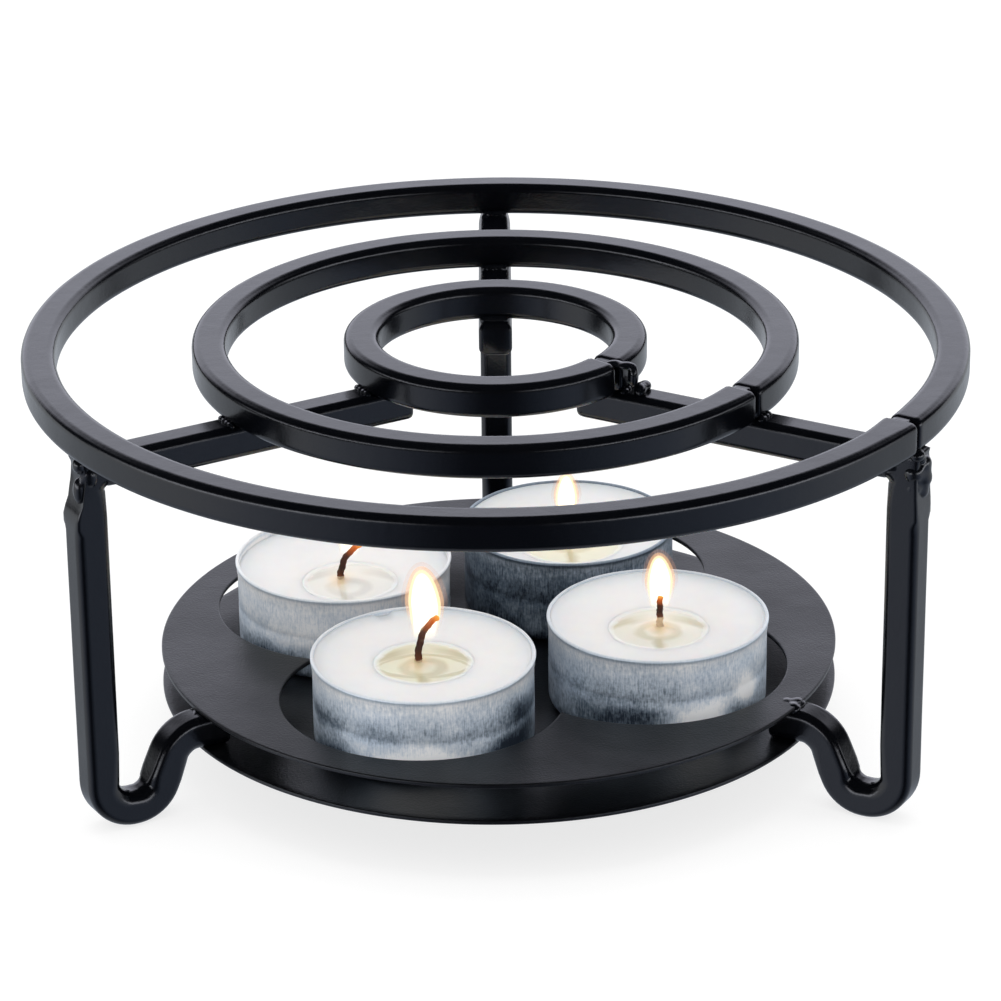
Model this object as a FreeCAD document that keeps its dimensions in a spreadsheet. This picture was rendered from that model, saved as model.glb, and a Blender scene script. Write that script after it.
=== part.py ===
import FreeCAD, Part
import math
import os

import Sketcher

# Teapot warmer: three rings of square bar carry the pot, three bent legs of the
# same bar carry the rings and, lower down, a tray of two sheet discs. The upper
# disc has a four-lobed cut-out, and a tealight stands in each lobe on the lower
# disc. Millimetres. The origin is on the floor under the centre of the rings,
# +Z is up, the back leg is on +Y and the two other legs stand to the front.

SIZES = {
    # square bar, its rolled corners and the weld seams that close the rings
    "bar_side": 6.0,
    "bar_corner": 1.3,
    "seam_width": 1.1,
    "seam_depth": 0.8,
    "seam_skin": 0.15,
    "seam_shift": 3.0,
    # rings: outside radii and the height of their level tops above the floor. The
    # outer ring has no radius of its own: it stands over the feet, and they reach
    # out from the tray, which is as wide as its tealights need.
    "middle_ring_radius": 53.0,
    "inner_ring_radius": 26.5,
    "stand_height": 76.0,
    # legs: bend radii on the middle line of the bar, lengths and rises
    "leg_count": 3.0,
    "arm_reach": 2.5,
    "corner_bend": 3.6,
    "foot_bend": 5.9,
    "instep_bend": 5.2,
    "shoulder_bend": 6.0,
    "foot_length": 9.7,
    "rise_run": 5.2,
    "shoulder_gap": 4.2,
    "tray_grip": 5.0,
    "pinch_depth": 1.8,
    "pinch_start": 12.2,
    "pinch_end": 4.6,
    "weld_width": 5.2,
    "weld_inset": 1.0,
    "weld_root": 3.0,
    # tray: two discs of the same sheet, one bar apart, with a lobe for each tealight
    "tray_rim": 6.3,
    "tray_floor_gap": 10.4,
    "sheet_thickness": 0.8,
    "lobe_count": 4.0,
    "lobe_clearance": 5.35,
    "lobe_turn": 63.0,
    # tealights: where they stand, then drawn cup, wax, wick holder and wick
    "candle_turn": 65.0,
    "candle_drift": 1.8,
    "cup_gap": 4.54,
    "cup_radius": 19.3,
    "cup_height": 16.0,
    "cup_wall": 0.3,
    "cup_bend": 1.4,
    "cup_lip": 0.35,
    "cup_lip_height": 0.6,
    "wax_fit": 0.05,
    "wax_drop": 1.1,
    "wax_rise": 0.5,
    "wax_rise_width": 1.6,
    "pool_radius": 8.2,
    "pool_slope": 1.2,
    "pool_depth": 0.7,
    "holder_radius": 7.0,
    "holder_thickness": 0.3,
    "collar_radius": 1.7,
    "collar_height": 3.6,
    "wick_radius": 0.8,
    "wick_fit": 0.1,
    "wick_height": 4.6,
    "wick_bend": 5.0,
}

# Each tealight: name, quarter turns from the first lobe, the bend of its wick
# and the direction in which the wick leans, in degrees.
TEALIGHTS = (
    ("rear", 0, 20.0, 20.0),
    ("left", 1, 52.0, -10.0),
    ("front", 2, 50.0, 12.0),
    ("right", 3, 6.0, 0.0),
)

# Each leg: name and number of leg steps from the back leg.
LEGS = (("back_leg", 0), ("front_left_leg", 1), ("front_right_leg", 2))

BACK = 90.0
FULL_TURN = 360.0


class Size:
    """A length or angle with both its number and the text that binds it to the sheet."""

    def __init__(self, number, text):
        self.number = float(number)
        self.text = text

    def __add__(self, other):
        other = as_size(other)
        return Size(self.number + other.number, f"({self.text} + {other.text})")

    def __sub__(self, other):
        other = as_size(other)
        return Size(self.number - other.number, f"({self.text} - {other.text})")

    def __mul__(self, other):
        other = as_size(other)
        return Size(self.number * other.number, f"{self.text} * {other.text}")

    def __truediv__(self, other):
        other = as_size(other)
        return Size(self.number / other.number, f"{self.text} / ({other.text})")


def as_size(value):
    return value if isinstance(value, Size) else Size(value, repr(float(value)))


def size_cos(angle):
    return Size(math.cos(math.radians(angle.number)), f"cos({angle.text})")


def size_sin(angle):
    return Size(math.sin(math.radians(angle.number)), f"sin({angle.text})")


def make_sheet(doc):
    sheet = doc.addObject("Spreadsheet::Sheet", "Sizes")
    for row, (alias, number) in enumerate(SIZES.items(), start=1):
        sheet.set(f"A{row}", alias.replace("_", " "))
        sheet.set(f"B{row}", str(number))
        sheet.setAlias(f"B{row}", alias)
    doc.recompute()
    return {alias: Size(sheet.get(alias), f"Sizes.{alias}") for alias in SIZES}


def bind(target, field, size):
    target.setExpression(field, size.text)


def turn_about_z(body, angle):
    body.Placement = FreeCAD.Placement(
        body.Placement.Base, FreeCAD.Rotation(FreeCAD.Vector(0, 0, 1), angle.number)
    )
    bind(body, "Placement.Rotation.Angle", angle)


def new_body(doc, name):
    body = doc.addObject("PartDesign::Body", name)
    body.Label = name
    return body


def origin_feature(body, role):
    return next(item for item in body.Origin.OriginFeatures if item.Role == role)


def new_sketch(body, name, plane):
    sketch = body.newObject("Sketcher::SketchObject", name)
    sketch.AttachmentSupport = [(origin_feature(body, plane), "")]
    sketch.MapMode = "FlatFace"
    return sketch


def bind_point(sketch, geometry, point, across, up):
    """Hold a point of the sketch at the two sizes, measured from the origin."""
    for kind, size in (("DistanceX", across), ("DistanceY", up)):
        index = sketch.addConstraint(
            Sketcher.Constraint(kind, -1, 1, geometry, point, size.number)
        )
        bind(sketch, f"Constraints[{index}]", size)


def add_circle(sketch, across, up, radius):
    centre = FreeCAD.Vector(across.number, up.number, 0)
    circle = sketch.addGeometry(
        Part.Circle(centre, FreeCAD.Vector(0, 0, 1), radius.number)
    )
    index = sketch.addConstraint(Sketcher.Constraint("Radius", circle, radius.number))
    bind(sketch, f"Constraints[{index}]", radius)
    bind_point(sketch, circle, 3, across, up)


def corner_arc(before, corner, after, radius):
    """Ends, centre and side of the arc that rounds a corner between two runs."""
    run_in = (corner - before).normalize()
    run_out = (after - corner).normalize()
    turn = run_in.getAngle(run_out)
    reach = radius * math.tan(turn / 2)
    start = corner - run_in * reach
    end = corner + run_out * reach
    left = run_in.cross(run_out).z > 0
    side = FreeCAD.Vector(-run_in.y, run_in.x, 0) * (1 if left else -1)
    return start, end, start + side * radius, left


def add_outline(sketch, corners, closed=True):
    """Draw straight runs between corners, rounded where a corner has a radius.

    A corner is (across, up) or (across, up, radius), all of them sizes. Each
    corner stays in the sketch as a point that both of its runs pass through.
    """
    count = len(corners)
    spots = [FreeCAD.Vector(c[0].number, c[1].number, 0) for c in corners]
    arcs = {}
    for index, corner in enumerate(corners):
        if len(corner) == 3:
            before = spots[index - 1]
            after = spots[(index + 1) % count]
            arcs[index] = corner_arc(before, spots[index], after, corner[2].number)
    run_count = count if closed else count - 1
    runs = []
    for index in range(run_count):
        following = (index + 1) % count
        start = arcs[index][1] if index in arcs else spots[index]
        end = arcs[following][0] if following in arcs else spots[following]
        runs.append(sketch.addGeometry(Part.LineSegment(start, end)))
    for index, corner in enumerate(corners):
        has_before = closed or index > 0
        has_after = closed or index < count - 1
        if index in arcs:
            round_corner(sketch, runs[index - 1], runs[index], corner, arcs[index])
        elif has_before and has_after:
            sketch.addConstraint(
                Sketcher.Constraint("Coincident", runs[index - 1], 2, runs[index], 1)
            )
            bind_point(sketch, runs[index], 1, corner[0], corner[1])
        elif has_after:
            bind_point(sketch, runs[index], 1, corner[0], corner[1])
        else:
            bind_point(sketch, runs[index - 1], 2, corner[0], corner[1])


def round_corner(sketch, run_in, run_out, corner, arc):
    start, end, centre, left = arc
    across, up, radius = corner
    begin = start if left else end
    finish = end if left else start
    first = math.atan2(begin.y - centre.y, begin.x - centre.x)
    last = math.atan2(finish.y - centre.y, finish.x - centre.x)
    circle = Part.Circle(centre, FreeCAD.Vector(0, 0, 1), radius.number)
    bend = sketch.addGeometry(Part.ArcOfCircle(circle, first, last))
    start_end, end_end = (1, 2) if left else (2, 1)
    sketch.addConstraint(Sketcher.Constraint("Tangent", run_in, 2, bend, start_end))
    sketch.addConstraint(Sketcher.Constraint("Tangent", run_out, 1, bend, end_end))
    index = sketch.addConstraint(Sketcher.Constraint("Radius", bend, radius.number))
    bind(sketch, f"Constraints[{index}]", radius)
    spot = FreeCAD.Vector(across.number, up.number, 0)
    point = sketch.addGeometry(Part.Point(spot), True)
    sketch.addConstraint(Sketcher.Constraint("PointOnObject", point, 1, run_in))
    sketch.addConstraint(Sketcher.Constraint("PointOnObject", point, 1, run_out))
    bind_point(sketch, point, 1, across, up)


def square_section(centre_across, centre_up, side, corner):
    """Corners of the bar's section, a square with rolled corners."""
    half = side / 2
    left, right = centre_across - half, centre_across + half
    low, high = centre_up - half, centre_up + half
    return [
        (right, high, corner),
        (left, high, corner),
        (left, low, corner),
        (right, low, corner),
    ]


def revolve(body, name, sketch):
    turned = body.newObject("PartDesign::Revolution", name)
    turned.Profile = sketch
    turned.ReferenceAxis = (origin_feature(body, "Z_Axis"), [""])
    turned.Angle = FULL_TURN
    return turned


def pad(body, name, sketch, length):
    padded = body.newObject("PartDesign::Pad", name)
    padded.Profile = sketch
    bind(padded, "Length", length)
    return padded


def pocket_through(body, name, sketch):
    """Cut the sketch right through the body, in the direction in which it was padded."""
    pocket = body.newObject("PartDesign::Pocket", name)
    pocket.Profile = sketch
    pocket.Type = "ThroughAll"
    pocket.Reversed = True
    return pocket


def check_cut(doc, before, after):
    """A cut that misses its body changes nothing and raises nothing, so compare volumes."""
    doc.recompute()
    if after.Shape.Volume >= before.Shape.Volume - 0.001:
        raise RuntimeError(f"{after.Label} removes nothing")


def make_ring(doc, name, radius, s):
    """A bar bent to a ring; its butt weld leaves a notch outside and a faint seam round it."""
    body = new_body(doc, name)
    middle = radius - s["bar_side"] / 2
    height = s["stand_height"] - s["bar_side"] / 2
    section = new_sketch(body, f"{name}_section", "XZ_Plane")
    add_outline(section, square_section(middle, height, s["bar_side"], s["bar_corner"]))
    ring = revolve(body, f"{name}_bar", section)
    seam_sketch = new_sketch(body, f"{name}_seam_section", "XZ_Plane")
    seam_sketch.AttachmentOffset = FreeCAD.Placement(
        FreeCAD.Vector(0, 0, s["seam_shift"].number), FreeCAD.Rotation()
    )
    bind(seam_sketch, "AttachmentOffset.Base.z", s["seam_shift"])
    clear = s["bar_side"] * 2
    add_outline(seam_sketch, square_section(middle, height, clear, s["bar_corner"]))
    inner = radius - s["bar_side"] + s["seam_skin"]
    outer = radius - s["seam_depth"]
    low = s["stand_height"] - s["bar_side"] + s["seam_skin"]
    high = s["stand_height"] - s["seam_skin"]
    add_outline(seam_sketch, [(outer, high), (inner, high), (inner, low), (outer, low)])
    seam = body.newObject("PartDesign::Pocket", f"{name}_seam")
    seam.Profile = seam_sketch
    seam.Midplane = True
    bind(seam, "Length", s["seam_width"])
    check_cut(doc, ring, seam)
    turn_about_z(body, leg_angle(s, 2))
    return body


def lip_radius(s):
    return s["cup_radius"] + s["cup_lip"]


def half_lobe_step(s):
    return as_size(FULL_TURN / 2) / s["lobe_count"]


def candle_circle(s):
    """Radius of the circle on which the tealights stand, a gap apart at their lips."""
    return (lip_radius(s) + s["cup_gap"] / 2) / size_sin(half_lobe_step(s))


def lobe_circle(s):
    return candle_circle(s) - s["candle_drift"]


def lobe_radius(s):
    return lip_radius(s) + s["lobe_clearance"]


def tray_radius(s):
    return lobe_circle(s) + lobe_radius(s) + s["tray_rim"]


def shoulder_radius(s):
    return tray_radius(s) + s["shoulder_gap"]


def instep_radius(s):
    return shoulder_radius(s) + s["rise_run"]


def upright_radius(s):
    """Distance of the uprights' middle lines from the axis, out from the tray by the foot."""
    return instep_radius(s) + s["foot_length"]


def outer_ring_radius(s):
    return upright_radius(s) + s["bar_side"] / 2


def leg_angle(s, step):
    return as_size(BACK) + as_size(FULL_TURN) / s["leg_count"] * step


def make_leg(doc, name, step, s):
    """One bar: arm under the rings, upright, foot, rise and the end held in the tray."""
    body = new_body(doc, name)
    half = s["bar_side"] / 2
    arm_start = s["inner_ring_radius"] - s["bar_side"] - s["arm_reach"]
    arm_height = s["stand_height"] - s["bar_side"] - half
    upright = upright_radius(s)
    tray_height = s["tray_floor_gap"] + s["sheet_thickness"] + half
    tray_end = tray_radius(s) - s["tray_grip"]
    path = new_sketch(body, f"{name}_path", "XZ_Plane")
    add_outline(
        path,
        [
            (arm_start, arm_height),
            (upright, arm_height, s["corner_bend"]),
            (upright, half, s["foot_bend"]),
            (instep_radius(s), half, s["instep_bend"]),
            (shoulder_radius(s), tray_height, s["shoulder_bend"]),
            (tray_end, tray_height),
        ],
        closed=False,
    )
    section = new_sketch(body, f"{name}_section", "YZ_Plane")
    section.AttachmentOffset = FreeCAD.Placement(
        FreeCAD.Vector(0, 0, arm_start.number), FreeCAD.Rotation()
    )
    bind(section, "AttachmentOffset.Base.z", arm_start)
    add_outline(
        section, square_section(as_size(0), arm_height, s["bar_side"], s["bar_corner"])
    )
    bar = body.newObject("PartDesign::AdditivePipe", f"{name}_bar")
    bar.Profile = section
    bar.Spine = (path, [])
    pinch_corner(doc, body, name, bar, s)
    weld_to_ring(body, name, s)
    turn_about_z(body, leg_angle(s, step))
    return body


def pinch_corner(doc, body, name, bar, s):
    """The tight bend under the outer ring thins the bar on its outside."""
    outside = outer_ring_radius(s)
    arm_top = s["stand_height"] - s["bar_side"]
    thinned = outside - s["pinch_depth"]
    beyond = outside + s["bar_side"]
    profile = new_sketch(body, f"{name}_pinch_outline", "XZ_Plane")
    add_outline(
        profile,
        [
            (outside, arm_top - s["pinch_start"]),
            (beyond, arm_top - s["pinch_start"]),
            (beyond, arm_top + s["bar_side"]),
            (thinned, arm_top + s["bar_side"]),
            (thinned, arm_top - s["pinch_end"]),
        ],
    )
    pinch = body.newObject("PartDesign::Pocket", f"{name}_pinch")
    pinch.Profile = profile
    pinch.Midplane = True
    bind(pinch, "Length", s["bar_side"] * 2)
    check_cut(doc, bar, pinch)


def weld_to_ring(body, name, s):
    """Weld metal that fills the wedge between the bend and the outer ring above it."""
    arm_top = s["stand_height"] - s["bar_side"]
    upright = upright_radius(s)
    tip = outer_ring_radius(s) - s["weld_inset"]
    thinned = outer_ring_radius(s) - s["pinch_depth"]
    profile = new_sketch(body, f"{name}_weld_outline", "XZ_Plane")
    add_outline(
        profile,
        [
            (tip, arm_top),
            (upright - s["corner_bend"] - s["weld_root"], arm_top),
            (upright - s["corner_bend"] - s["weld_root"], arm_top - s["weld_root"]),
            (thinned, arm_top - s["pinch_end"] - s["weld_inset"]),
            (thinned, arm_top - s["weld_inset"] * 2),
        ],
    )
    weld = body.newObject("PartDesign::Pad", f"{name}_weld")
    weld.Profile = profile
    weld.Midplane = True
    bind(weld, "Length", s["weld_width"])


def make_tray_disc(doc, name, height, s):
    body = new_body(doc, name)
    outline = new_sketch(body, f"{name}_outline", "XY_Plane")
    outline.AttachmentOffset = FreeCAD.Placement(
        FreeCAD.Vector(0, 0, height.number), FreeCAD.Rotation()
    )
    bind(outline, "AttachmentOffset.Base.z", height)
    add_circle(outline, as_size(0), as_size(0), tray_radius(s))
    pad(body, f"{name}_sheet", outline, s["sheet_thickness"])
    return body


def make_top_disc(doc, name, height, s):
    """The cut-out is four lobes round the centre, cleared of what they leave there."""
    body = make_tray_disc(doc, name, height, s)
    sheet = body.Tip
    lobe_sketch = new_sketch(body, f"{name}_lobe_outline", "XY_Plane")
    add_circle(lobe_sketch, lobe_circle(s), as_size(0), lobe_radius(s))
    lobe = pocket_through(body, f"{name}_lobe", lobe_sketch)
    check_cut(doc, sheet, lobe)
    lobes = body.newObject("PartDesign::PolarPattern", f"{name}_lobes")
    lobes.Originals = [lobe]
    lobes.Axis = (origin_feature(body, "Z_Axis"), [""])
    lobes.Angle = FULL_TURN
    bind(lobes, "Occurrences", s["lobe_count"])
    body.Tip = lobes
    check_cut(doc, lobe, lobes)
    centre_sketch = new_sketch(body, f"{name}_centre_outline", "XY_Plane")
    clearing = lobe_circle(s) * size_cos(half_lobe_step(s))
    add_circle(centre_sketch, as_size(0), as_size(0), clearing)
    centre = pocket_through(body, f"{name}_centre", centre_sketch)
    check_cut(doc, lobes, centre)
    turn_about_z(body, s["lobe_turn"])
    return body


def place_in_lobe(body, quarter, height, turn, s):
    """Stand a piece of a tealight on the lower disc, in its own lobe."""
    angle = s["candle_turn"] + as_size(FULL_TURN) / s["lobe_count"] * quarter
    across = candle_circle(s) * size_cos(angle)
    along = candle_circle(s) * size_sin(angle)
    body.Placement = FreeCAD.Placement(
        FreeCAD.Vector(across.number, along.number, height.number),
        FreeCAD.Rotation(FreeCAD.Vector(0, 0, 1), turn),
    )
    bind(body, "Placement.Base.x", across)
    bind(body, "Placement.Base.y", along)
    bind(body, "Placement.Base.z", height)


def make_cup(doc, name, s):
    """A drawn cup: rounded at the floor, with a small lip rolled out at the rim."""
    body = new_body(doc, name)
    profile = new_sketch(body, f"{name}_profile", "XZ_Plane")
    wall = s["cup_wall"]
    zero = as_size(0)
    inside = s["cup_radius"] - wall
    lip = lip_radius(s)
    lip_foot = s["cup_height"] - s["cup_lip_height"]
    add_outline(
        profile,
        [
            (zero, zero),
            (s["cup_radius"], zero, s["cup_bend"]),
            (s["cup_radius"], lip_foot),
            (lip, lip_foot + s["cup_lip"]),
            (lip, s["cup_height"]),
            (inside, s["cup_height"]),
            (inside, wall, s["cup_bend"] - wall),
            (zero, wall),
        ],
    )
    revolve(body, f"{name}_shell", profile)
    return body


def make_wax(doc, name, s):
    """Wax with a rise along the cup, a melted hollow, and room for wick and holder."""
    body = new_body(doc, name)
    profile = new_sketch(body, f"{name}_profile", "XZ_Plane")
    fit = s["wax_fit"]
    floor = s["cup_wall"] + fit
    top = s["cup_height"] - s["wax_drop"]
    pool = top - s["pool_depth"]
    rim = s["cup_radius"] - s["cup_wall"] - fit
    bore = s["wick_radius"] + s["wick_fit"]
    collar = s["collar_radius"] + s["wick_fit"]
    collar_top = s["cup_wall"] + s["collar_height"] + s["wick_fit"]
    holder = s["holder_radius"] + s["wick_fit"]
    holder_top = s["cup_wall"] + s["holder_thickness"] + s["wick_fit"]
    add_outline(
        profile,
        [
            (holder, floor),
            (rim, floor, s["cup_bend"]),
            (rim, top + s["wax_rise"]),
            (rim - s["wax_rise_width"], top),
            (s["pool_radius"], top),
            (s["pool_radius"] - s["pool_slope"], pool),
            (bore, pool),
            (bore, collar_top),
            (collar, collar_top),
            (collar, holder_top),
            (holder, holder_top),
        ],
    )
    revolve(body, f"{name}_block", profile)
    return body


def make_wick_holder(doc, name, s):
    """A tin disc on the floor of the cup, with the collar that grips the wick."""
    body = new_body(doc, name)
    profile = new_sketch(body, f"{name}_profile", "XZ_Plane")
    bore = s["wick_radius"]
    collar = s["collar_radius"]
    top = s["collar_height"]
    flange = s["holder_thickness"]
    zero = as_size(0)
    add_outline(
        profile,
        [
            (bore, zero),
            (s["holder_radius"], zero),
            (s["holder_radius"], flange),
            (collar, flange),
            (collar, top),
            (bore, top),
        ],
    )
    revolve(body, f"{name}_disc", profile)
    return body


def make_wick(doc, name, bend_angle, s):
    """A cord that stands straight in the wax and curls over above it."""
    body = new_body(doc, name)
    wax_top = s["cup_height"] - s["wax_drop"] - s["pool_depth"] - s["cup_wall"]
    bend_start = wax_top + s["wick_height"] / 2
    path = new_sketch(body, f"{name}_path", "XZ_Plane")
    angle = as_size(bend_angle)
    radius = s["wick_bend"]
    corner_reach = radius * size_sin(angle / 2) / size_cos(angle / 2)
    corner_up = bend_start + corner_reach
    zero = as_size(0)
    tail = corner_reach + s["wick_height"] / 2
    end_across = tail * size_sin(angle)
    end_up = corner_up + tail * size_cos(angle)
    add_outline(
        path,
        [(zero, zero), (zero, corner_up, radius), (end_across, end_up)],
        closed=False,
    )
    section = new_sketch(body, f"{name}_section", "XY_Plane")
    add_circle(section, zero, zero, s["wick_radius"])
    cord = body.newObject("PartDesign::AdditivePipe", f"{name}_cord")
    cord.Profile = section
    cord.Spine = (path, [])
    return body


def make_tealight(doc, place, quarter, bend_angle, lean, s):
    stand = s["tray_floor_gap"] + s["sheet_thickness"]
    inside = stand + s["cup_wall"]
    cup = make_cup(doc, f"{place}_tealight_cup", s)
    wax = make_wax(doc, f"{place}_tealight_wax", s)
    holder = make_wick_holder(doc, f"{place}_tealight_wick_holder", s)
    wick = make_wick(doc, f"{place}_tealight_wick", bend_angle, s)
    place_in_lobe(cup, quarter, stand, 0, s)
    place_in_lobe(wax, quarter, stand, 0, s)
    place_in_lobe(holder, quarter, inside, 0, s)
    place_in_lobe(wick, quarter, inside, lean, s)
    return [cup, wax, holder, wick]


def check(doc, bodies):
    for item in doc.Objects:
        if "Invalid" in item.State or "Error" in item.State:
            raise RuntimeError(f"{item.Label} failed: {item.State}")
    for body in bodies:
        if body.Shape.isNull() or not body.Shape.isValid():
            raise RuntimeError(f"{body.Label} has no valid shape")
        if len(body.Shape.Solids) != 1:
            raise RuntimeError(f"{body.Label} has {len(body.Shape.Solids)} solids")


def main():
    doc = FreeCAD.newDocument("teapot_warmer")
    s = make_sheet(doc)
    bodies = [
        make_ring(doc, "outer_ring", outer_ring_radius(s), s),
        make_ring(doc, "middle_ring", s["middle_ring_radius"], s),
        make_ring(doc, "inner_ring", s["inner_ring_radius"], s),
    ]
    bodies += [make_leg(doc, name, step, s) for name, step in LEGS]
    lower = s["tray_floor_gap"]
    upper = lower + s["sheet_thickness"] + s["bar_side"]
    bodies.append(make_tray_disc(doc, "tray_bottom_disc", lower, s))
    bodies.append(make_top_disc(doc, "tray_top_disc", upper, s))
    for place, quarter, bend_angle, lean in TEALIGHTS:
        bodies += make_tealight(doc, place, quarter, bend_angle, lean, s)
    doc.recompute()
    check(doc, bodies)
    os.makedirs("parts", exist_ok=True)
    for body in bodies:
        body.Shape.exportStep(f"parts/{body.Label}.step")
        box = body.Shape.BoundBox
        print(
            f"{body.Label}: {body.Shape.Volume:.1f} mm3, "
            f"x {box.XMin:.1f} to {box.XMax:.1f}, y {box.YMin:.1f} to {box.YMax:.1f}, "
            f"z {box.ZMin:.1f} to {box.ZMax:.1f}"
        )


main()
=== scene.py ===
"""Looks of the teapot warmer: black powder-coated bars and tray, and four burning tealights."""

from math import cos, degrees, exp, hypot, pi, radians, sin, sqrt, tan, tau

import bpy
from mathutils import Matrix, Vector


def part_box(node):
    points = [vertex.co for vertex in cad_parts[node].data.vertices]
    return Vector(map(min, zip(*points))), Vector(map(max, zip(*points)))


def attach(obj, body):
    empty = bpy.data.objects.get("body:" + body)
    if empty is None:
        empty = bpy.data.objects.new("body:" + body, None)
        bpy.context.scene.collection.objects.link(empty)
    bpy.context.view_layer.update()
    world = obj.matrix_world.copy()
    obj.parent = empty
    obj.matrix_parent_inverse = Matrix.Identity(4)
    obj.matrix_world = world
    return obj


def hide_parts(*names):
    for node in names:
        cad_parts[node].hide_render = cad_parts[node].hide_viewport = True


MM = 0.001
ROOT = "root"

# Bar: its corners are a little rounder than in the construction, because of the coat, and
# fuller in the bends, whose radii and runs are those of the construction.
BAR_CORNER = 1.35 * MM
BEND_CORNER = BAR_CORNER * 1.75
CORNER_STEPS = 6
CORNER_SUPPORT = 0.15 * MM
CORNER_BEND = 3.6 * MM
FOOT_BEND = 5.9 * MM
INSTEP_BEND = 5.2 * MM
SHOULDER_BEND = 6.0 * MM
FOOT_LENGTH = 9.7 * MM
RISE_RUN = 5.2 * MM
TRAY_GRIP = 5.0 * MM
LEG_STEP = 1.4 * MM
RING_STEP = 1.1 * MM

# Ground ends of the bars, in mm: distance from the end and how far the sides draw in there.
RING_TRIM = ((0.0, 0.5), (0.12, 0.24), (0.3, 0.07), (0.6, 0.0), (1.2, 0.0))
LEG_TRIM = ((0.0, 0.6), (0.15, 0.28), (0.4, 0.08), (0.8, 0.0))

# Butt joints of the rings: place, gap, and how far the weld in it stays below the bar.
JOINT_SHIFT = 3.0 * MM
JOINT_GAP = 1.6 * MM
JOINT_SUNK_OUTSIDE = 1.5 * MM
JOINT_SUNK_INSIDE = 0.45 * MM
JOINT_SUNK_TOP = 0.3 * MM
JOINT_ROUGHNESS = 0.28 * MM

# Each ring: name, seed of its unevenness, and how far its last end stands out and its first
# end steps back at the joint, in mm.
RINGS = (
    ("outer_ring", 1, 0.35, 0.10),
    ("middle_ring", 2, 0.22, 0.15),
    ("inner_ring", 3, 0.15, 0.05),
)

# Each leg: direction in degrees, seed, and in mm how ragged the arm's end is and how deep
# its corner is pinched.
LEGS = {
    "back_leg": (90.0, 4, 0.0, 1.8),
    "front_left_leg": (210.0, 5, 0.15, 1.9),
    "front_right_leg": (330.0, 6, 0.9, 0.3),
}

# The pinched corner, in mm below the arm's top: depth of the pinch as a share of the deepest.
PINCH_SHARES = ((11.0, 0.0), (7.0, 0.80), (4.6, 1.0), (2.2, 0.92), (0.0, 0.55))
PINCHED_LENGTH = 12.5 * MM
NARROWED_LENGTH = 9.0 * MM
NARROWED_SHARE = 0.12

# Lumps of weld metal in mm. Each drop has a place outwards, sideways and up, and half sizes.
# A corner's are measured from the outer ring's edge and underside, a tray's from the axis and
# its top, and a ring's from the axis and the rings' underside.
WELD_LUMPS = {
    ("front_right_leg", "corner"): (
        (-1.0, -1.5, -0.8, 1.5, 1.5, 1.3),
        (-0.7, 0.2, -2.8, 1.7, 1.9, 1.9),
        (-0.6, 0.3, -5.2, 1.7, 1.9, 2.1),
        (-0.9, 0.2, -7.6, 1.5, 1.6, 1.7),
        (-1.3, -1.8, -4.0, 1.8, 1.5, 1.8),
        (-1.5, -1.6, -6.6, 1.6, 1.5, 1.8),
        (-4.9, -2.6, -3.2, 2.0, 0.9, 1.3),
        (-7.0, -2.6, -1.2, 1.9, 0.9, 1.1),
    ),
    ("front_left_leg", "corner"): (
        (-1.7, 1.2, -1.2, 1.3, 1.5, 1.6),
        (-1.6, 1.2, -5.8, 1.3, 1.4, 2.6),
        (-2.8, 2.4, -3.4, 1.5, 0.9, 2.0),
    ),
    ("back_leg", "corner"): (
        (-6.2, 1.6, -0.5, 1.1, 1.6, 0.9),
        (-6.1, -1.4, -0.6, 1.0, 1.6, 1.0),
    ),
    ("front_right_leg", "tray"): (
        (59.8, -1.5, -0.75, 1.3, 1.5, 1.0),
        (59.6, 0.7, -0.80, 1.4, 1.8, 1.0),
        (58.0, -0.3, -0.72, 1.8, 2.0, 0.85),
    ),
    ("front_left_leg", "tray"): ((60.5, -0.6, -1.2, 0.7, 2.2, 0.6),),
    ("back_leg", "tray"): ((60.3, 0.3, -1.2, 0.8, 2.1, 0.7),),
    ("front_right_leg", "ring"): (
        (28.9, -0.4, 0.6, 1.2, 2.4, 1.1),
        (28.8, 1.7, 0.5, 1.1, 1.6, 0.9),
        (27.4, -2.8, 5.50, 1.7, 1.3, 0.65),
        (25.2, -2.9, 5.50, 1.7, 1.2, 0.60),
        (28.8, -2.8, 3.8, 1.0, 1.3, 2.2),
    ),
}

# Tray.
LOBE_COUNT = 4
LOBE_RADIUS = 25.0 * MM
LOBE_CIRCLE = 29.2 * MM
LOBE_TURN = 63.0
EDGE_ROUND = 0.22 * MM
TRAY_STEPS = 720
DISC_STEPS = 256
DISC_CORE = 2.0 * MM
DISC_CORE_STEPS = 48

# Tealights.
CUP_RADIUS = 19.3 * MM
CUP_HEIGHT = 16.0 * MM
CUP_WALL = 0.3 * MM
CUP_BEND = 1.4 * MM
CUP_RIM = 0.33 * MM
CUP_HOLE = 0.3 * MM
WAX_HOLE = 0.9 * MM
WAX_FLOOR = 0.4 * MM
WAX_DROP = 1.05
WAX_EDGE = 0.75
POOL_SINK = 0.16 * MM
POOL_DEPTH = 0.4 * MM
WICK_RADIUS = 0.66 * MM
WICK_SIDES = 18
WICK_ROOT = ((0.0, -1.5), (0.0, 0.0))
FLAME_SIDES = 24
FLAME_POINTS = 61
FLAME_SHIFT = 0.8 * MM
FLAME_LIGHT = 0.0011

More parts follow.
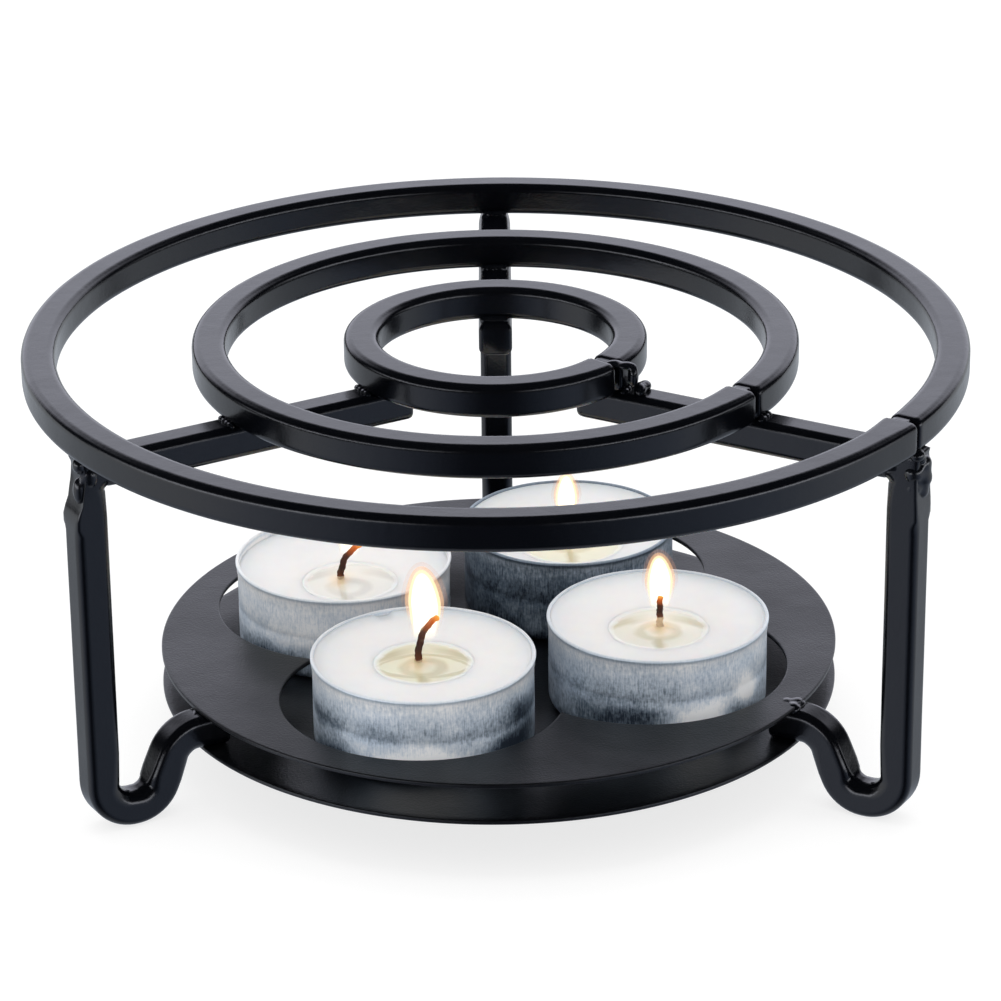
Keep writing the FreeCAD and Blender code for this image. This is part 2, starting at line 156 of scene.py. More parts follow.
# The four tealights, in mm from the middle of the cup and in degrees.
# cup_painted_lift: painted light over the whole cup where above 0, painted shade where below 0
# cup_painted_spots: painted highlights (brightness above 0) and painted shade (brightness below 0) in
# spots: direction, height, width in radians, brightness
# wax_drop, wax_edge: how far the wax lies below the rim and how high it climbs the cup,
# where that isn't WAX_DROP and WAX_EDGE
# notch: direction of a chip in that edge
# pool, pool_colours: middle and radius of the melted wax, its colour and that of its marks
# ring_offset, ripples: shift of the collar seen under it, number of ripples on it
# wick_foot, wick: where the wick stands, and its points across and up from there
# lean, char_start: how far it leans forwards, and the height from which it is charred
# flame, flame_radius: points of the flame's middle line from that foot, widest radius
TEALIGHTS = {
    "front": {
        "cup_painted_lift": 0.06,
        "cup_painted_spots": (
            (-92.0, 3.6, 0.46, 0.80),
            (-140.0, 2.0, 0.34, -0.70),
            (-36.0, 4.0, 0.40, -0.65),
            (-28.0, 9.5, 0.34, -0.50),
            (-152.0, 8.5, 0.26, -0.35),
            (-112.0, 8.0, 0.20, -0.20),
        ),
        "notch": 113.0,
        "pool": (0.1, -1.6, 8.4),
        "pool_colours": ((0.86, 0.81, 0.65), (0.62, 0.57, 0.40)),
        "ring_offset": -1.9,
        "ripples": 2,
        "wick_foot": (-0.8, -0.8),
        "wick": ((0.05, 1.6), (0.4, 4.2), (1.2, 6.6), (2.5, 8.4), (3.7, 9.2)),
        "lean": 1.8,
        "char_start": 0.3,
        "flame": ((1.1, 4.2), (1.3, 8.2), (1.1, 12.4), (0.8, 16.6)),
        "flame_radius": 3.0,
    },
    "left": {
        "cup_painted_lift": 0.14,
        "cup_painted_spots": (
            (-104.0, 9.0, 0.50, 0.30),
            (-46.0, 8.0, 0.42, -0.45),
            (-135.0, 3.0, 0.5, -0.5),
            (-88.0, 4.5, 0.2, 0.3),
        ),
        "wax_drop": 2.0,
        "wax_edge": 0.55,
        "pool": (1.4, -6.6, 8.4),
        "pool_colours": ((0.83, 0.81, 0.77), (0.68, 0.66, 0.62)),
        "ring_offset": -2.4,
        "wick_foot": (-0.4, -4.8),
        "wick": ((0.1, 1.4), (0.8, 4.0), (2.2, 6.0), (3.9, 7.3)),
        "lean": 1.2,
        "char_start": 0.5,
        "flame": ((1.7, 4.6), (1.8, 7.4), (1.8, 10.2), (1.7, 13.2)),
        "flame_radius": 2.5,
    },
    "right": {
        "cup_painted_lift": 0.0,
        "cup_painted_spots": (
            (-68.0, 4.0, 0.26, 0.85),
            (-38.0, 6.6, 0.13, 0.70),
            (-110.0, 4.6, 0.45, -0.45),
            (-44.0, 2.2, 0.26, -0.50),
            (-52.0, 9.5, 0.60, 0.12),
        ),
        "pool": (0.0, -3.7, 8.6),
        "pool_colours": ((0.86, 0.83, 0.76), (0.66, 0.63, 0.50)),
        "ring_offset": -0.8,
        "wick_foot": (0.3, -2.4),
        "wick": ((0.0, 1.8), (-0.05, 4.2), (0.0, 6.4)),
        "lean": 1.4,
        "char_start": 1.9,
        "flame": ((0.0, 3.4), (0.0, 6.4), (0.0, 9.6), (-0.2, 12.9)),
        "flame_radius": 2.4,
    },
    "rear": {
        "cup_painted_lift": -0.36,
        "cup_painted_spots": ((-110.0, 3.5, 0.2, 0.2),),
        "pool": (0.4, -7.2, 9.6),
        "pool_colours": ((0.88, 0.83, 0.66), (0.70, 0.64, 0.45)),
        "ring_offset": -0.8,
        "wick_foot": (0.0, -5.0),
        "wick": ((0.0, 1.6), (0.2, 3.6), (0.8, 5.2)),
        "lean": 1.0,
        "char_start": 0.6,
        "flame": ((-0.3, 3.4), (-0.4, 6.2), (-0.4, 9.0), (-0.4, 12.2)),
        "flame_radius": 2.1,
    },
}

# Veils of a flame, from the inside out: share of its full width, colour, strength, cover
# and the share of the flame's length at which the veil starts.
FLAME_VEILS = (
    (0.76, (1.0, 0.95, 0.74), 3.2, 0.90, 0.0),
    (0.93, (1.0, 0.84, 0.50), 1.7, 0.52, 0.0),
    (1.12, (1.0, 0.60, 0.33), 1.2, 0.28, 0.10),
    (1.34, (1.0, 0.52, 0.34), 1.0, 0.07, 0.22),
)

# Painted light and shade on a cup's wall, by its share of the height: painted shade low down by the tray,
# in the groove and under the rolled rim, and a painted highlight in the band under the rim and on the rim.
CUP_PAINTED_TONES = (
    *((0.02, 0.26), (0.22, 0.46), (0.44, 0.54), (0.50, 0.42), (0.62, 0.52)),
    *((0.84, 0.66), (0.93, 0.76), (0.97, 0.45), (1.0, 0.80)),
)

# Stage.
FLOOR_SIZE = 12.0
LIGHT_PLACE = Vector((0.0, 0.15, 1.4))
LIGHT_SIZE = 1.0
LIGHT_POWER = 6.0
CAMERA_LENS = 154.645
CAMERA_PLACE = Vector((0.0006, -0.7011, 0.3470))
CAMERA_TILT = 66.6
CAMERA_ROLL = -0.60

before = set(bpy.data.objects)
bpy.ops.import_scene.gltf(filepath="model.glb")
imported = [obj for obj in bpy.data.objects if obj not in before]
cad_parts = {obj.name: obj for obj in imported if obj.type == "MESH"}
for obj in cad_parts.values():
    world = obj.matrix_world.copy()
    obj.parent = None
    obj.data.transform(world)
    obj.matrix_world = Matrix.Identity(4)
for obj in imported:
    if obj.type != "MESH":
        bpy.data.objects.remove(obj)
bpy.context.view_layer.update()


# Meshes


def add_object(name, data):
    thing = bpy.data.objects.new(name, data)
    bpy.context.scene.collection.objects.link(thing)
    return thing


def mesh_object(name, points, faces, material):
    mesh = bpy.data.meshes.new(name)
    mesh.from_pydata([tuple(p) for p in points], [], faces)
    mesh.update()
    for polygon in mesh.polygons:
        polygon.use_smooth = True
    mesh.materials.append(material)
    return add_object(name, mesh)


def mesh_piece(name, form, material, place=None, node=None):
    """A piece of the part, made of (points, faces); it may take the place of a node."""
    piece = mesh_object(name, *form, material)
    if place is not None:
        piece.location = place
    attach(piece, ROOT)
    if node:
        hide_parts(node)
    return piece


def skin(loops, closed=False):
    """Points and faces of a skin over loops of points; each loop is closed on itself."""
    count = len(loops[0])
    points = [p for loop in loops for p in loop]
    faces = []
    for i in range(len(loops) if closed else len(loops) - 1):
        here = i * count
        there = (i + 1) % len(loops) * count
        for j in range(count):
            k = (j + 1) % count
            faces.append((here + j, here + k, there + k, there + j))
    if not closed:
        last = (len(loops) - 1) * count
        faces.append(tuple(reversed(range(count))))
        faces.append(tuple(last + j for j in range(count)))
    return points, faces


def wave(x, y, z, seed):
    """A smooth, repeatable unevenness from -1 to 1; the arguments are in millimetres."""
    total = 0.0
    for k in range(1, 4):
        phase = seed * 1.7 + k * 2.1
        total += sin(x * 0.71 * k + phase) * sin(y * 0.83 * k + phase * 1.3)
        total += sin(z * 0.93 * k + phase * 0.7) / k
    return total / 4.5


def bell(offset, width):
    return exp(-((offset / width) ** 2))


def smooth_step(t):
    t = min(1.0, max(0.0, t))
    return t * t * (3 - 2 * t)


def polar(radius, angle, height):
    return (radius * cos(angle), radius * sin(angle), height)


def section_points(side, corner):
    """The bar's section: a square with rolled corners, as (outward, up) from its middle.

    A point just before and after each arc keeps the flats between them flat.
    """
    flat = side / 2 - corner
    points = []
    for sx, sy, first in ((1, 1, 0), (-1, 1, 90), (-1, -1, 180), (1, -1, 270)):
        arc = [radians(first + 90 * step / CORNER_STEPS) for step in range(CORNER_STEPS + 1)]
        stops = [(arc[0], -CORNER_SUPPORT), *((angle, 0.0) for angle in arc), (arc[-1], CORNER_SUPPORT)]
        for angle, shift in stops:
            out = sx * flat + corner * cos(angle) - shift * sin(angle)
            up = sy * flat + corner * sin(angle) + shift * cos(angle)
            points.append((out, up))
    return points


def curve_points(knots, count):
    """Points, in metres, of a Catmull-Rom curve through knots in millimetres."""
    padded = [knots[0], *knots, knots[-1]]
    spans = len(knots) - 1
    made = []
    for i in range(count):
        place = i / (count - 1) * spans
        span = min(int(place), spans - 1)
        t = place - span
        weights = (
            -t + 2 * t**2 - t**3,
            2 - 5 * t**2 + 3 * t**3,
            t + 4 * t**2 - 3 * t**3,
            t**3 - t**2,
        )
        near = padded[span : span + 4]
        made.append(tuple(sum(w * v for w, v in zip(weights, row)) / 2 * MM for row in zip(*near)))
    return made


def reach(node):
    """Smallest and largest distance of a node's points from the axis of the rings."""
    spans = [hypot(v.co.x, v.co.y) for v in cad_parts[node].data.vertices]
    return min(spans), max(spans)


# Materials


class Field:
    """A value that nodes make over a surface; the usual signs add, scale and divide it."""

    def __init__(self, nodes, socket):
        self.nodes = nodes
        self.socket = socket

    def __add__(self, other):
        return self.nodes.math("ADD", self, other)

    def __sub__(self, other):
        return self.nodes.math("SUBTRACT", self, other)

    def __mul__(self, other):
        return self.nodes.math("MULTIPLY", self, other)

    def __truediv__(self, other):
        return self.nodes.math("DIVIDE", self, other)

    def __abs__(self):
        return self.nodes.math("ABSOLUTE", self)


class Nodes:
    """Short calls for the nodes of one tree."""

    def __init__(self, tree, coordinates):
        self.tree = tree
        self.place = self.add("TexCoord", {}, coordinates)

    def feed(self, socket, value):
        """Give a socket a field, a number, a colour or a vector."""
        if isinstance(value, Field):
            self.tree.links.new(value.socket, socket)
        elif socket.type == "RGBA":
            socket.default_value = (*value, 1)
        else:
            socket.default_value = value

    def add(self, kind, inputs, output=0, **settings):
        """A new node with its inputs; what comes back is one of its outputs."""
        node = self.tree.nodes.new(f"ShaderNode{kind}")
        for name, value in settings.items():
            setattr(node, name, value)
        for key, value in inputs.items():
            self.feed(node.inputs[key], value)
        return Field(self, node.outputs[output])

    def math(self, operation, first, second=0.0):
        return self.add("Math", {0: first, 1: second}, operation=operation)

    def parts(self):
        node = self.add("SeparateXYZ", {0: self.place}).socket.node
        return [Field(self, socket) for socket in node.outputs]

    def noise(self, size, detail=2.0, roughness=0.5, vector=None, stretch=(1, 1, 1)):
        """Noise whose patches measure about size, in metres; 0 to 1, around 0.5."""
        scaled = self.add("VectorMath", {0: vector or self.place, 1: stretch}, operation="MULTIPLY")
        inputs = {"Scale": 1 / size, "Detail": detail, "Roughness": roughness, "Vector": scaled}
        return self.add("TexNoise", inputs, "Fac")

    def spread(self, value, from_low, from_high, to_low=0.0, to_high=1.0):
        inputs = {"Value": value, "From Min": from_low, "From Max": from_high}
        return self.add("MapRange", {**inputs, "To Min": to_low, "To Max": to_high}, "Result")

    def ramp(self, value, *stops):
        """Colours along a value; each stop is (position, (red, green, blue))."""
        colours = self.add("ValToRGB", {"Fac": value}, "Color")
        elements = colours.socket.node.color_ramp.elements
        while len(elements) < len(stops):
            elements.new(0.5)
        for element, (position, colour) in zip(elements, stops):
            element.position = position
            element.color = (*colour, 1)
        return colours

    def mix(self, share, first, second):
        return self.add("Mix", {0: share, 6: first, 7: second}, 2, data_type="RGBA")

    def spot(self, across, along, width, length):
        """1 where both offsets are 0, and fading out at about the width and the length."""
        across, along = across / width, along / length
        return self.math("EXPONENT", (across * across + along * along) * -1.0)

    def bump(self, height, depth, strength, normal=None):
        inputs = {"Strength": strength, "Distance": depth, "Height": height}
        if normal:
            inputs["Normal"] = normal
        return self.add("Bump", inputs, "Normal")


class Shader(Nodes):
    """A new material with its surface."""

    def __init__(self, name, coordinates="Object"):
        self.material = bpy.data.materials.new(name)
        self.material.use_nodes = True
        super().__init__(self.material.node_tree, coordinates)

    def set(self, **values):
        surface = self.tree.nodes["Principled BSDF"]
        for name, value in values.items():
            self.feed(surface.inputs[name.replace("_", " ")], value)


def powder_coat(name, rough_low, rough_high, grain_depth):
    """Black coat with shallow dents, orange peel and a fine grain."""
    shader = Shader(name)
    patches = shader.noise(0.014, detail=3.0)
    dents = shader.bump(shader.noise(0.009), 0.00016, 0.5)
    peel = shader.bump(shader.noise(0.0016), 0.00004, 0.45, dents)
    grain = shader.noise(0.00042, roughness=0.6)
    dark, light = (0.0007, 0.0010, 0.0019), (0.0012, 0.0015, 0.0026)
    shader.set(
        Base_Color=shader.ramp(patches, (0.25, dark), (0.8, light)),
        Roughness=shader.spread(patches, 0.2, 0.8, rough_low, rough_high),
        IOR=1.55,
        Normal=shader.bump(grain, grain_depth, 0.8, peel),
    )
    return shader.material


def weld_coat():
    """The same coat over weld metal: glossier, and softly rippled."""
    shader = Shader("powder_coat_over_weld")
    lumps = shader.noise(0.0017, detail=1.0)
    dark, light = (0.0012, 0.0016, 0.0026), (0.003, 0.0035, 0.005)
    shader.set(
        Base_Color=shader.ramp(lumps, (0.3, dark), (0.75, light)),
        Roughness=shader.spread(lumps, 0.3, 0.7, 0.12, 0.22),
        IOR=1.6,
        Normal=shader.bump(lumps, 0.00014, 0.6),
    )
    return shader.material


def cup_metal(place, lift, patches):
    """Thin drawn aluminium: fine upright marks, mottled, with painted light and shade: brightest under the
    rim, darker low down, and with painted highlights and painted shade in spots.
    """
    shader = Shader(f"{place}_drawn_aluminium")
    x, y, z = shader.parts()
    direction = shader.math("ARCTAN2", y, x)
    wall = shader.add("CombineXYZ", {0: direction * CUP_RADIUS, 1: z})
    streaks = shader.noise(0.00030, detail=3.0, roughness=0.65, vector=wall, stretch=(1, 0.14, 1))
    mottle = shader.noise(0.0007, detail=3.0, roughness=0.6)
    clouds = shader.noise(0.0060, vector=wall, stretch=(1, 1.3, 1))
    shade = (mottle - 0.5) * 0.50 + (streaks - 0.5) * 0.75 + (clouds - 0.5) * 0.55
    calmer_at_rim = shader.spread(z, 0.0147, 0.0156, 1.0, 0.25)
    painted_tones = [(share, (tone, tone, tone)) for share, tone in CUP_PAINTED_TONES]
    # rise is painted light and shade by height: painted shade low down, in the groove and under the rim,
    # and a painted highlight under the rim.
    rise = shader.ramp(shader.spread(z, 0.0, CUP_HEIGHT), *painted_tones)
    # lift is painted light over the whole cup where above 0 and painted shade where below 0.
    shade = shade * calmer_at_rim + lift + rise
    # Painted highlights and painted shade in spots on the wall.
    for towards, height, width, bright in patches:
        patch = shader.spot(direction - radians(towards), z - height * MM, width, 0.0028)
        shade = shade + patch * bright
    colour = shader.ramp(
        shade,
        (0.0, (0.03, 0.045, 0.07)),
        (0.25, (0.22, 0.28, 0.35)),
        (0.55, (0.58, 0.67, 0.77)),
        (0.95, (0.98, 0.99, 1.0)),
    )
    # Where the painted light is brightest the wall is least metallic, so that the painted colour shows.
    shader.set(
        Base_Color=colour,
        Roughness=shader.spread(mottle, 0.3, 0.7, 0.36, 0.50),
        Metallic=shader.spread(shade, 0.2, 0.95, 0.50, 0.04),
        IOR=1.7,
        Normal=shader.bump(streaks, 0.00003, 0.5),
    )
    return shader.material


def candle_wax():
    shader = Shader("white_wax")
    clouds = shader.noise(0.006, detail=3.0)
    pits = shader.noise(0.0016, detail=3.0, roughness=0.6)
    shader.set(
        Base_Color=shader.ramp(clouds, (0.3, (0.915, 0.915, 0.935)), (0.7, (0.955, 0.95, 0.955))),
        Roughness=0.42,
        IOR=1.43,
        Subsurface_Weight=0.6,
        Subsurface_Scale=0.004,
        Subsurface_Radius=(1.0, 0.75, 0.6),
        Normal=shader.bump(pits, 0.00008, 0.4),
    )
    return shader.material


def melted_wax(place, details, radius, foot):
    """Clear melted wax, with a painted warm glow of the flame round the wick's foot.

    The collar and the hollow's far edge, seen through the wax, and a mirrored stem are painted on as
    darker marks: a painted view through the wax and a painted reflection of the stem.
    """
    shader = Shader(f"{place}_melted_wax")
    x, y, _ = shader.parts()
    x = x + (shader.noise(0.004) - 0.5) * 0.0020
    ring_offset = details["ring_offset"] * MM
    pale, mark = details["pool_colours"]

    def band(distance, width):
        return shader.spread(abs(distance) / width, 0.4, 1.3, 1.0, 0.0)

    def around(centre):
        up = y - centre
        return shader.math("SQRT", x * x + up * up)

    def above_bow(bend, height):
        return y - (x * x * bend + height)

    def brightest(first, second):
        return shader.math("MAXIMUM", first, second)

    # Painted marks: the collar and the hollow's far edge as seen through the clear wax, a painted
    # reflection of the stem, and the ripples as darker arcs.
    collar = band(around(ring_offset) - 0.0032, 0.0011)
    stem = band(x, 0.0012) * shader.math("LESS_THAN", y, ring_offset - 0.0034)
    wing = band(above_bow(-60.0, 0.0052), 0.0016) * shader.spread(abs(x), 0.001, 0.0055, 0.1, 1.0)
    marks = brightest(brightest(collar * 0.75, stem), wing)
    for number in range(details.get("ripples", 0)):
        bend = 46.0 + 26.0 * number
        far = band(above_bow(-bend, 0.0034), 0.0005)
        near = band(above_bow(bend * 0.8, -0.0058), 0.0005)
        marks = brightest(marks, brightest(far, near) * 0.8)
    brim = shader.spread(around(0.0), radius - 0.0011, radius + 0.0001)
    # Painted glow of the flame on the wax round the wick's foot.
    painted_flame_glow = shader.spot(x - foot[0], y - (foot[1] - 0.0010), 0.0018, 0.0030)
    colour = shader.mix(painted_flame_glow * 0.7, shader.mix(marks, pale, mark), (1.0, 0.70, 0.40))
    shader.set(
        Base_Color=shader.mix(brim, colour, (0.94, 0.935, 0.945)),
        Roughness=shader.spread(brim, 0.0, 0.6, 0.12, 0.42),
        IOR=1.43,
        Subsurface_Weight=0.2,
        Subsurface_Scale=0.002,
        Normal=shader.bump(marks, 0.00010, 0.4),
    )
    return shader.material


def burnt_wick():
    """Charred cotton, brown at the foot and glowing at the tip."""
    shader = Shader("burnt_wick", "UV")
    along = shader.parts()[1]
    waxed, singed = (0.80, 0.62, 0.42), (0.14, 0.04, 0.015)
    charred, tip = (0.045, 0.013, 0.008), (0.13, 0.03, 0.01)
    black, red, yellow = (0.0, 0.0, 0.0), (0.50, 0.10, 0.01), (1.0, 0.42, 0.05)
    strands = shader.noise(0.05, detail=3.0)
    stops = ((0.0, waxed), (0.26, waxed), (0.34, singed), (0.5, charred), (1.0, tip))
    shader.set(
        Base_Color=shader.ramp(along, *stops),
        Roughness=0.85,
        Emission_Color=shader.ramp(along, (0.70, black), (0.88, red), (1.0, yellow)),
        Emission_Strength=1.0,
        Normal=shader.bump(strands, 0.0003, 0.8),
    )
    return shader.material


def tin_plate():
    shader = Shader("tin_plate")
    spots = shader.noise(0.002, detail=3.0)
    shader.set(
        Base_Color=shader.ramp(spots, (0.3, (0.55, 0.55, 0.56)), (0.7, (0.75, 0.75, 0.76))),
        Roughness=shader.spread(spots, 0.3, 0.7, 0.3, 0.45),
        Metallic=1.0,
    )
    return shader.material


def flame_glow(name, colour, strength, cover):
    """One veil of the flame: light of its own colour that fades out round the wick."""
    shader = Shader(name, "UV")
    along = shader.parts()[1]
    fade = shader.ramp(along, (0.0, (0.0, 0.0, 0.0)), (0.2, (0.16, 0.16, 0.16)), (0.42, (1.0, 1.0, 1.0)))
    shader.set(
        Base_Color=(0, 0, 0),
        Roughness=1.0,
        Specular_IOR_Level=0.0,
        Emission_Color=colour,
        Emission_Strength=strength,
        Alpha=fade * cover,
    )
    return shader.material


BLACK = powder_coat("black_powder_coat", 0.16, 0.24, 0.000018)
TRAY = powder_coat("grained_powder_coat", 0.30, 0.42, 0.000070)
WELD = weld_coat()
WAX = candle_wax()
WICK = burnt_wick()
TIN = tin_plate()


# Rings


def ring_piece(node, seed, proud, step_back):
    """A bar bent round to a ring, its ends a little apart where they are welded together."""
    inner, outer = reach(node)
    low, high = (corner.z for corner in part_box(node))
    side = high - low
    half = side / 2
    middle, height = (inner + outer) / 2, (low + high) / 2
    section = section_points(side, BAR_CORNER)
    joint = radians(LEGS["front_right_leg"][0]) - JOINT_SHIFT / middle
    half_gap = JOINT_GAP / 2 / middle
    first, last = joint + half_gap, joint - half_gap + tau
    trim = [(distance * MM / middle, inset * MM) for distance, inset in RING_TRIM]
    trimmed = trim[-1][0]
    steps = max(120, int(tau * middle / RING_STEP))
    stations = [(first + turned, inset) for turned, inset in trim]
    for step in range(1, steps):
        angle = first + (last - first) * step / steps
        if first + trimmed < angle < last - trimmed:
            stations.append((angle, 0.0))
    stations += [(last - turned, inset) for turned, inset in reversed(trim)]
    loops = []
    for angle, inset in stations:
        raised = proud * bell(last - angle, 5 * MM / middle)
        raised -= step_back * bell(angle - first, 4 * MM / middle)
        shrink = 1 - inset / half
        loop = []
        for out, up in section:
            x, y, z = polar(middle + out, angle, height + up)
            swell = raised + wave(x / MM / 7, y / MM / 7, z / MM / 7, seed) * 0.05 * MM
            out_moved = out * shrink + swell * (out / half)
            up_moved = up * shrink + (swell * 0.6 if up > 0 else 0.0)
            loop.append(polar(middle + out_moved, angle, height + min(up_moved, half)))
        loops.append(loop)
    mesh_piece(f"{node}_bar", skin(loops), BLACK, node=node)

    loops = []
    for k in range(-4, 5):
        angle = joint + k / 4 * half_gap * 1.25
        loop = []
        for out, up in section:
            rough = JOINT_ROUGHNESS * wave(out / MM * 1.7 + k, up / MM * 1.9, k * 0.7, seed + 5)
            sunk = JOINT_SUNK_OUTSIDE if out > 0 else JOINT_SUNK_INSIDE
            radius = middle + out * (1 - sunk / half) + rough
            loop.append(polar(radius, angle, height + up * (1 - JOINT_SUNK_TOP / half) + rough * 0.3))
        loops.append(loop)
    mesh_piece(f"{node}_joint_weld", skin(loops), WELD)


# Legs


def straight_run(start, end, least, past_end=0):
    """Stations along a straight run, one about every step, without the end unless asked."""
    length = (end - start).length
    heading = (end - start).normalized()
    count = max(least, int(length / LEG_STEP))
    return [(start + heading * (length * k / count), heading) for k in range(count + past_end)]


def bent_path(corners, bends):
    """Places and directions along straight runs joined by arcs, in the leg's own plane."""
    spots = [Vector(corner) for corner in corners]
    stations = []
    start = spots[0]
    for before, corner, after, bend in zip(spots, spots[1:], spots[2:], bends):
        run_in, run_out = (corner - before).normalized(), (after - corner).normalized()
        turn = -run_in.angle_signed(run_out)
        back = bend * tan(abs(turn) / 2)
        arc_start = corner - run_in * back
        stations += straight_run(start, arc_start, 2)
        side = Vector((-run_in.y, run_in.x)) * (bend if turn > 0 else -bend)
        arcs = max(6, int(abs(degrees(turn)) / 6))
        for k in range(arcs):
            turned = Matrix.Rotation(turn * k / arcs, 2)
            stations.append((arc_start + side - turned @ side, turned @ run_in))
        start = corner + run_out * back
    return stations + straight_run(start, spots[-1], 3, past_end=1)


def how_bent(stations):
    """At each station the turn of the path around it; 1 is 0.1 radians a step."""
    turns = [a.x * b.y - a.y * b.x for (_, a), (_, b) in zip(stations, stations[1:])] + [0.0]
    nearby = [turns[max(0, index - 3) : index + 4] for index in range(len(turns))]
    return [sum(near) / len(near) / 0.1 for near in nearby]


def corner_outline(height, arm_top, outside, depth):
    """How far out the pinched and welded corner under the outer ring reaches, by height."""
    below = (arm_top - height) / MM
    share = 0.0
    for (low, low_share), (high, high_share) in zip(PINCH_SHARES, PINCH_SHARES[1:]):
        if below < low:
            share = low_share + (high_share - low_share) * smooth_step((low - below) / (low - high))
    return outside - depth * share


def leg_piece(node, azimuth, seed, ragged, pinch):
    """One bent bar: arm, thinned corner, upright, foot, rise and the end in the tray."""
    arm_top, ring_top = (corner.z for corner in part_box("outer_ring"))
    side = ring_top - arm_top
    half = side / 2
    disc_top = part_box("tray_bottom_disc")[1].z
    outside = reach("outer_ring")[1]
    upright = outside - half
    instep = upright - FOOT_LENGTH
    corners = (
        (reach(node)[0], arm_top - half),
        (upright, arm_top - half),
        (upright, half),
        (instep, half),
        (instep - RISE_RUN, disc_top + half),
        (reach("tray_bottom_disc")[1] - TRAY_GRIP, disc_top + half),
    )
    stations = bent_path(corners, (CORNER_BEND, FOOT_BEND, INSTEP_BEND, SHOULDER_BEND))
    trim = [(distance * MM, inset * MM) for distance, inset in LEG_TRIM]
    begin, heading = stations[0]
    end, end_heading = stations[-1]
    line = [(begin + heading * distance, heading, inset, 0.0) for distance, inset in trim]
    for (place, direction), bent in list(zip(stations, how_bent(stations)))[1:-1]:
        line.append((place, direction, 0.0, bent))
    for distance, inset in reversed(trim):
        line.append((end - end_heading * distance, end_heading, inset, 0.0))
    turn = radians(azimuth)
    loops = []
    for index, (place, direction, inset, bent) in enumerate(line):
        normal = Vector((-direction.y, direction.x))
        shrink = 1 - inset / half
        inner_sign = 1 if bent > 0 else -1
        past_arm = smooth_step(-direction.y / 0.3)
        loop = []
        for plain, full in zip(section_points(side, BAR_CORNER), section_points(side, BEND_CORNER)):
            soft = min(1.0, abs(bent)) * smooth_step(0.5 + 0.8 * plain[1] * inner_sign / half)
            out, up = (a + (b - a) * soft for a, b in zip(plain, full))
            spot = place + normal * (up * shrink)
            width = out * shrink
            r, z = spot.x, spot.y
            if index < 3 and ragged:
                tear = wave(out / MM * 0.9, up / MM * 0.8, index * 0.3, seed)
                r -= ragged * (0.5 + 0.5 * tear)
            if up > 0 and past_arm > 0 and z > arm_top - PINCHED_LENGTH:
                outer_share = smooth_step(up / half)
                aim = corner_outline(z, arm_top, outside, pinch)
                r += (aim - r) * outer_share * past_arm
                narrow = outer_share * (1 - smooth_step((arm_top - z) / NARROWED_LENGTH))
                width *= 1 - NARROWED_SHARE * past_arm * narrow
                r += 0.25 * MM * wave(width / MM, z / MM * 0.9, seed, seed) * narrow
            r += wave(width / MM / 5, z / MM / 9, r / MM / 9, seed) * 0.04 * MM
            z = max(0.0, min(z, arm_top))
            x, y, _ = polar(r, turn, 0)
            loop.append((x - width * sin(turn), y + width * cos(turn), z))
        loops.append(loop)
    mesh_piece(f"{node}_bar", skin(loops), BLACK, node=node)


# Welds


def weld_lump(name, drops):
    """Drops of weld metal run together; each is (middle, half sizes), in millimetres."""
    family = bpy.data.metaballs.new(name)
    family.resolution = 0.25
    family.render_resolution = 0.25
    family.threshold = 0.6
    for place, size in drops:
        drop = family.elements.new(type="ELLIPSOID")
        drop.co = place
        drop.radius = 1.0
        drop.size_x, drop.size_y, drop.size_z = (value * 1.45 for value in size)
        drop.stiffness = 3.0
    holder = add_object(name, family)
    bpy.context.view_layer.update()
    shaped = holder.evaluated_get(bpy.context.evaluated_depsgraph_get())
    mesh = bpy.data.meshes.new_from_object(shaped)
    points = [tuple(vertex.co * MM) for vertex in mesh.vertices]
    faces = [tuple(polygon.vertices) for polygon in mesh.polygons]
    bpy.data.objects.remove(holder)
    bpy.data.metaballs.remove(family)
    bpy.data.meshes.remove(mesh)
    mesh_piece(f"{name}_weld", (points, faces), WELD)


def on_leg(leg, radius, sideways, height):
    """A place by a leg: distance from the axis, sideways from the leg's middle, height."""
    turn = radians(LEGS[leg][0])
    x, y, z = polar(radius, turn, height)
    return Vector((x - sideways * sin(turn), y + sideways * cos(turn), z))


def corner_welds():
    """Weld metal at the corners under the outer ring, at the tray and at the inner ring."""
    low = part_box("outer_ring")[0].z / MM
    bases = {
        "corner": (reach("outer_ring")[1] / MM, low),
        "tray": (0.0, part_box("tray_top_disc")[1].z / MM),
        "ring": (0.0, low),
    }
    for (leg, where), drops in WELD_LUMPS.items():
        out, up = bases[where]
        placed = [(on_leg(leg, out + r, side, up + z), size) for r, side, z, *size in drops]
        weld_lump(f"{leg}_{where}", placed)


def bead(name, start, end, radius, seed):
    """A short run of weld: overlapping ripples along a line, rounded at both ends."""
    run = end - start
    side = run.normalized().cross(Vector((0, 0, 1))).normalized()
    up = side.cross(run.normalized())
    loops = []
    for k in range(29):
        t = k / 28
        ends = sqrt(max(0.0, 1 - (2 * t - 1) ** 6))
        ripple = 0.86 + 0.14 * abs(cos(t * run.length / (1.1 * MM) * pi))
        loop = []
        for j in range(14):
            angle = tau * j / 14
            lump = 1 + 0.22 * wave(t * 9 + seed, angle * 2, seed * 1.3, seed)
            size = radius * max(0.04, ends * ripple * lump)
            loop.append(start + run * t + (side * cos(angle) + up * sin(angle)) * size)
        loops.append(loop)
    mesh_piece(name, skin(loops), WELD)


